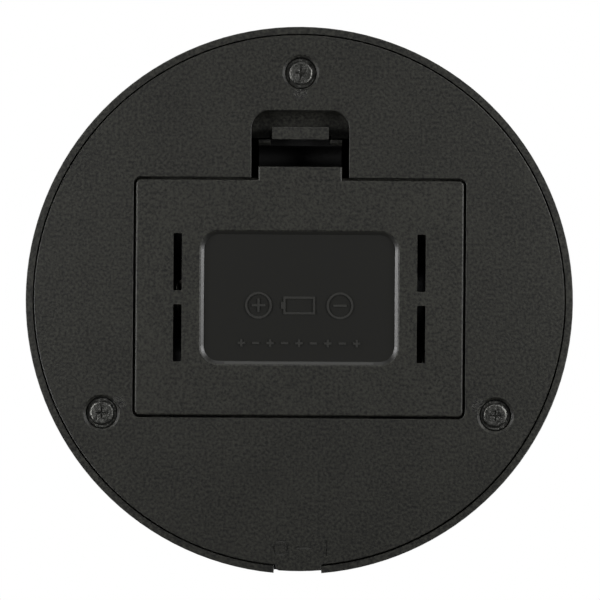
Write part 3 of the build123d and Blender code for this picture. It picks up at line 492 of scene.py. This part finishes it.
board = Finish("green_solder_mask", 0.3, Coat_Weight=0.3)
weave_pitch, track_pitch, track_width, track_jog, chip_reach = 0.8, 1.6, 0.35, 0.7, 8.0
weave = ((board.x % weave_pitch < weave_pitch / 2) * 0.5
         + (board.y % weave_pitch < weave_pitch / 2) * 0.5)
track = (((board.y + (board.x > 3.0) * track_jog) % track_pitch) < track_width) * (
    abs(board.x) > chip_reach)
mask_skin = board.blend(weave, (0.010, 0.075, 0.028), (0.014, 0.095, 0.036))
board.feed(Base_Color=board.blend(track, mask_skin, (0.03, 0.17, 0.06)))
board.bump(track, 0.03)
coat(board, "main_board")

resin = Finish("cast_epoxy", 0.16)
flow_lines = resin.noise(0.5)
resin.feed(Base_Color=resin.blend(flow_lines, (0.006, 0.006, 0.006), (0.016, 0.016, 0.016)),
           Roughness=0.1 + flow_lines * 0.15)
coat(resin, "chip_cover")

ceramic = Finish("fired_ceramic_and_tin_ends", 0.45)
grit = ceramic.noise(6.0)
crystal_from = 14.5
crystal = ceramic.x > crystal_from
body_tone = ceramic.blend(grit, (0.30, 0.20, 0.11), (0.42, 0.30, 0.18))
ceramic.feed(Base_Color=ceramic.blend(crystal, body_tone, (0.60, 0.60, 0.58)), Metallic=crystal)
coat(ceramic, "board_components")

switch_body = Finish("moulded_switch_body", 0.5)
speckle = switch_body.noise(2.0)
switch_body.feed(Base_Color=switch_body.blend(speckle, (0.015, 0.015, 0.015), (0.03, 0.03, 0.03)))
coat(switch_body, "tact_switches")

acetal = Finish("red_acetal", 0.4)
waxy = acetal.noise(1.5)
acetal.feed(Base_Color=acetal.blend(waxy, (0.32, 0.03, 0.02), (0.42, 0.05, 0.035)))
coat(acetal, "tare_plunger", "unit_plunger")


# ---- buttons ----
# Two round satin ABS keys. Each has a pale sign printed on its crown: a ring with a stroke
# through its top for power and zero, and two opposed arrowheads for the unit.

ink_grey = (0.55, 0.56, 0.56)
key_centres = {key: (Vector(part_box(key)[0]) + Vector(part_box(key)[1])) * 500
               for key in ("tare_button", "unit_button")}


def key_finish(name, centre, sign):
    """Satin key with a printed sign; sign gives the mask from the place on the crown."""
    finish = Finish(name, 0.42)
    satin = finish.noise(3.0)
    x, y = finish.x - centre.x, finish.y - centre.y
    crown = finish.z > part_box("tare_button")[1][2] * 1000 - 0.05
    skin = finish.blend(satin, (0.020, 0.020, 0.021), (0.034, 0.034, 0.036))
    printed = sign(finish, x, y) * crown
    finish.feed(Base_Color=finish.blend(printed, skin, ink_grey), Roughness=0.42 + printed * 0.15)
    finish.bump(satin, 0.012)
    return finish


def ring_and_stroke(finish, x, y):
    centre = key_centres["tare_button"]
    ring = abs(finish.away(centre.x, centre.y) - 1.75) < 0.2
    stroke = (abs(x) < 0.2) * (abs(y - 1.7) < 0.95)
    gap = (abs(x) < 0.55) * (y > 0.4)
    open_ring = ring * (1 - gap)
    return open_ring.maths("MAXIMUM", open_ring, stroke)


def arrowheads(finish, x, y):
    across = abs(x)
    tips = (across + abs(y) < 2.3) * (across > 0.45)
    return tips * (1 - (across + abs(y) < 1.5)) * (abs(y) < 1.6)


coat(key_finish("satin_key_power", key_centres["tare_button"], ring_and_stroke), "tare_button")
coat(key_finish("satin_key_unit", key_centres["unit_button"], arrowheads), "unit_button")


# ---- power switch ----
# A slide switch in a folded tin-plated can, clamped between two cheeks of the base, with a
# grooved acetal knob that a fingernail moves in the notch of the skirt.

can = Finish("tin_plated_can", 0.32, Metallic=1.0)
handling = can.noise(0.9, 3.0)
can.feed(Base_Color=can.blend(handling, (0.40, 0.40, 0.39), (0.58, 0.58, 0.56)),
         Roughness=0.25 + handling * 0.25)
can.bump(handling, 0.01)
coat(can, "power_switch")

knob = Finish("black_acetal", 0.38)
rubbed = knob.noise(2.4, 3.0)
knob.feed(Base_Color=knob.blend(rubbed, (0.010, 0.010, 0.010), (0.026, 0.026, 0.025)),
          Roughness=0.3 + rubbed * 0.2)
knob.bump(rubbed, 0.01)
coat(knob, "power_knob")


# ---- leads ----
# Stranded copper in PVC: a red and a black lead from the cells, four coloured ones from the load
# cell's gauges, and two black ones from the switch, all tinned and soldered at their ends.


def insulation(name, ramp_start, ramp_end, stops, *nodes):
    """PVC whose colour depends on which lead of a group it is, counted along X."""
    finish = Finish(name, 0.38)
    spot = (finish.x - ramp_start) * (1 / (ramp_end - ramp_start))
    colour = spot.node("ValToRGB", {0: spot}, stops=stops)
    shade = finish.noise(1.2)
    finish.feed(Base_Color=finish.blend(shade * 0.35, colour, (0.012, 0.012, 0.012)),
                Roughness=0.32 + shade * 0.15)
    coat(finish, *nodes)


insulation("pvc_cell_leads", -28.0, 28.0, [(0.0, (0.015, 0.015, 0.015)), (0.5, (0.45, 0.02, 0.015))],
           "battery_leads")
insulation("pvc_gauge_leads", -4.4, 4.4, [(0.0, (0.42, 0.02, 0.015)), (0.25, (0.015, 0.015, 0.015)),
                                          (0.5, (0.55, 0.55, 0.52)), (0.75, (0.02, 0.22, 0.05))],
           "load_cell_leads")
insulation("pvc_switch_leads", -4.0, 1.0, [(0.0, (0.012, 0.012, 0.012)), (0.5, (0.02, 0.02, 0.02))],
           "switch_leads")


# ---- studio ----
# A pale paper floor, large soft lamps over the upper side, and softer ones below, left and right,
# for the underside. The camera looks straight up at the base.

floor_reach, floor_drop, lit_until, bright_from = 1.6, 0.0003, 180.0, 900.0
paper_mesh = bpy.data.meshes.new("studio_floor")
corners = [(-floor_reach, -floor_reach, -floor_drop), (floor_reach, -floor_reach, -floor_drop),
           (floor_reach, floor_reach, -floor_drop), (-floor_reach, floor_reach, -floor_drop)]
paper_mesh.from_pydata(corners, [], [(0, 1, 2, 3)])
floor = bpy.data.objects.new("studio_floor", paper_mesh)
bpy.context.scene.collection.objects.link(floor)
paper = Finish("studio_paper", 1.0, Base_Color=(0.42, 0.42, 0.42, 1), Specular_IOR_Level=0.0,
               Emission_Color=(1, 1, 1, 1), Emission_Strength=0.48)
far_off = paper.place.node("VectorMath", {0: paper.place}, out="Value", operation="LENGTH")
bright = paper.place.node("Emission", {"Color": (1, 1, 1, 1), "Strength": 1.0})
clear = paper.place.node("BsdfTransparent")
behind = paper.place.node("NewGeometry", out="Backfacing")
lit_paper = Wire(paper.tree, paper.shader.outputs[0])
nearby = far_off.fade(lit_until, bright_from)
toned = paper.place.node("MixShader", {0: nearby, 1: bright, 2: lit_paper})
both = paper.place.node("MixShader", {0: behind, 1: toned, 2: clear})
paper.tree.links.new(both.socket, paper.tree.nodes["Material Output"].inputs["Surface"])
paper_mesh.materials.append(paper.material)
floor.visible_shadow = False
floor.visible_diffuse = False
floor.visible_glossy = False

world = bpy.data.worlds.new("studio")
bpy.context.scene.world = world
world.use_nodes = True
sky = Wire(world.node_tree, None)
seen = sky.node("LightPath", out="Is Camera Ray")
direction = sky.node("TexCoord", out="Generated")
height = sky.node("SeparateXYZ", {0: direction}, out=2)
from_above, from_below = 0.55, 0.05
soft_light = height.fade(-0.05, 0.25) * (from_below - from_above) + from_above
backdrop = world.node_tree.nodes["Background"]
strength = seen * (1 - soft_light) + soft_light
world.node_tree.links.new(strength.socket, backdrop.inputs["Strength"])
backdrop.inputs["Color"].default_value = (1, 1, 1, 1)


def softbox(name, place, size, power, aim=(0, 0, 0.01)):
    """Square lamp that faces the object."""
    lamp = bpy.data.lights.new(name, "AREA")
    lamp.size, lamp.energy = size, power
    thing = bpy.data.objects.new(name, lamp)
    bpy.context.scene.collection.objects.link(thing)
    thing.location = place
    thing.rotation_euler = (Vector(place) - Vector(aim)).to_track_quat("Z", "Y").to_euler()


softbox("under_left", (0.26, 0.04, -0.12), 0.12, 0.71)
softbox("under_right", (-0.26, 0.06, -0.12), 0.12, 0.72)
softbox("under_back", (0.0, 0.36, -0.12), 0.2, 0.22)
softbox("over_left", (-0.6, -0.5, 0.8), 0.6, 9.0)
softbox("over_right", (0.7, 0.1, 0.7), 0.5, 4.0)
softbox("over_back", (0.0, 0.8, 0.7), 0.5, 4.0)

picture_width = 0.12051     # how much of the underside's plane the picture takes in
stand_off = 0.6
camera_data = bpy.data.cameras.new("camera")
camera_data.sensor_width = 36
camera_data.lens = 36 * stand_off / picture_width
camera_data.clip_end = 10
camera = bpy.data.objects.new("camera", camera_data)
bpy.context.scene.collection.objects.link(camera)
camera.location = (-0.00014, 0.00009, -stand_off)
camera.rotation_euler = (math.pi, 0, math.pi - math.radians(0.4))
bpy.context.scene.camera = camera
bpy.context.scene.view_settings.view_transform = "Standard"
